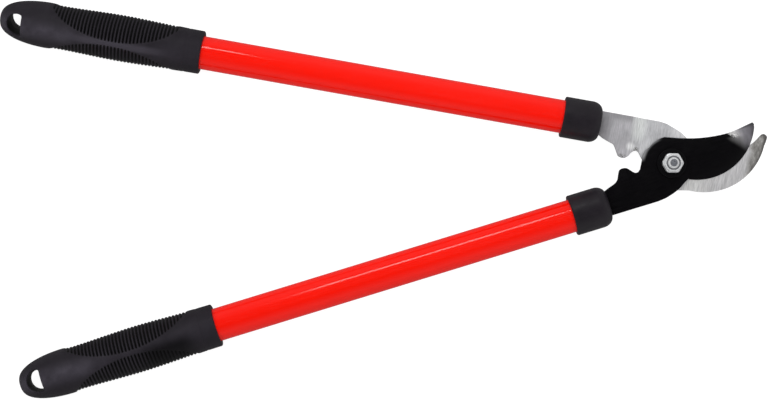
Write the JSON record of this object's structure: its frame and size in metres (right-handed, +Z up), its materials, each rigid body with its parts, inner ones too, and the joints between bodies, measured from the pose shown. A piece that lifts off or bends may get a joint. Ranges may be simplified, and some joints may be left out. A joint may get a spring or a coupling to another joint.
{
  "type": "bypass lopper",
  "caption": "Bypass lopper with two long red tube handles, black ribbed grips with hanging eyes, a black curved cutting blade and a bare steel hook",
  "frame": {"origin": "Middle of the flat face of the pivot bolt's head, under the jaws", "axes": "+X from the grips to the tips of the jaws, +Y to the side of the hook's handle, +Z up through the pivot from the bolt's head to the nut"},
  "size_m": [0.6911, 0.3578, 0.0425],
  "materials": {
    "red_paint": "gloss",
    "black_rubber": "satin",
    "ground_steel": "ground",
    "black_coating": "satin",
    "zinc": "plated",
    "black_steel": "satin",
    "brass": "machined",
    "grey_plastic": "moulded",
    "grey_nylon": "moulded"
  },
  "bodies": {
    "hook_lever": {"head_washer": "zinc", "hook_blade": "ground_steel", "hook_collar": "black_rubber", "hook_grip": "black_rubber", "hook_tang_insert": "grey_plastic", "hook_tang_pin_front": "zinc", "hook_tang_pin_rear": "zinc", "hook_tube": "red_paint", "nut_lock_ring": "grey_nylon", "nut_washer": "black_steel", "pivot_bolt": "zinc", "pivot_nut": "zinc"},
    "blade_lever": {"blade_collar": "black_rubber", "blade_grip": "black_rubber", "blade_tang_insert": "grey_plastic", "blade_tang_pin_front": "zinc", "blade_tang_pin_rear": "zinc", "blade_tube": "red_paint", "cutting_blade": "black_coating", "pivot_bush": "brass"}
  },
  "joints": [
    {"name": "pivot_hinge", "type": "hinge", "parent": "hook_lever", "child": "blade_lever", "pos_m": [0, 0, 0.01415], "axis": [0, 0, 1], "range_deg": [-12, 65]}
  ]
}
